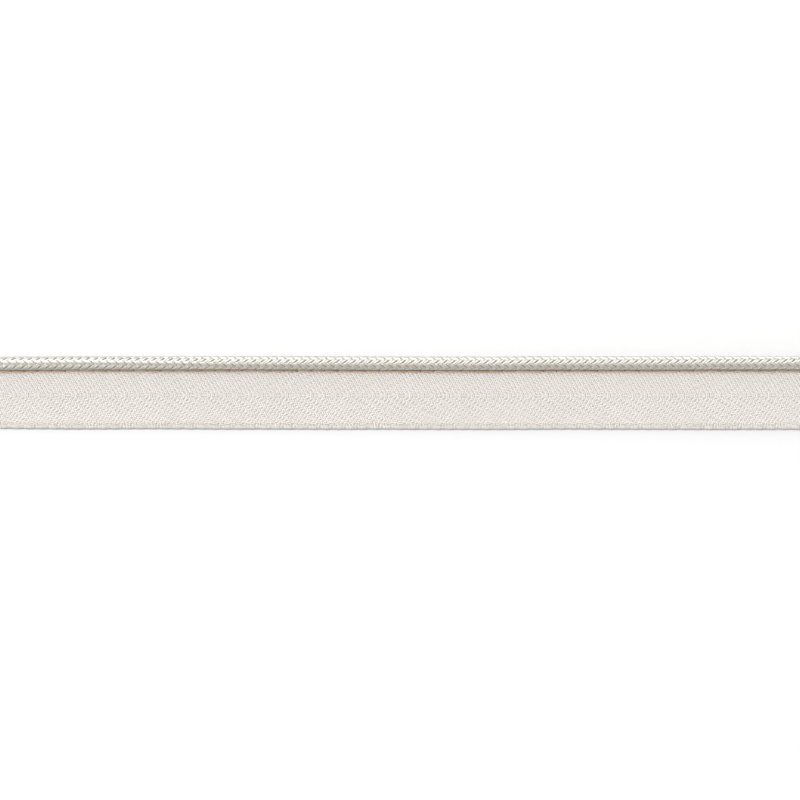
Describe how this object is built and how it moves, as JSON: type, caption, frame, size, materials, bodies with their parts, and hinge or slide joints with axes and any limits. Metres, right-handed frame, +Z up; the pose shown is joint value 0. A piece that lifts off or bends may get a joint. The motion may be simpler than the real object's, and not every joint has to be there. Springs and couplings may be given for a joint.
{
  "type": "piping trim",
  "caption": "Cut length of flanged piping: a round braided cord sewn along one edge of a flat herringbone tape, lying flat.",
  "frame": {"origin": "on the surface that the trim lies on, under the middle of its length and width", "axes": "+X along the trim, +Y from the tape's free edge to the cord, +Z up from the surface"},
  "size_m": [0.2052, 0.0171, 0.0047],
  "materials": {
    "cord_yarn": "satin braided yarn, off-white",
    "tape_yarn": "matt woven yarn, off-white",
    "sewing_thread": "twisted sewing thread, pale tan"
  },
  "bodies": {
    "root": {"piping_cord": "cord_yarn", "herringbone_tape": "tape_yarn"}
  },
  "joints": []
}
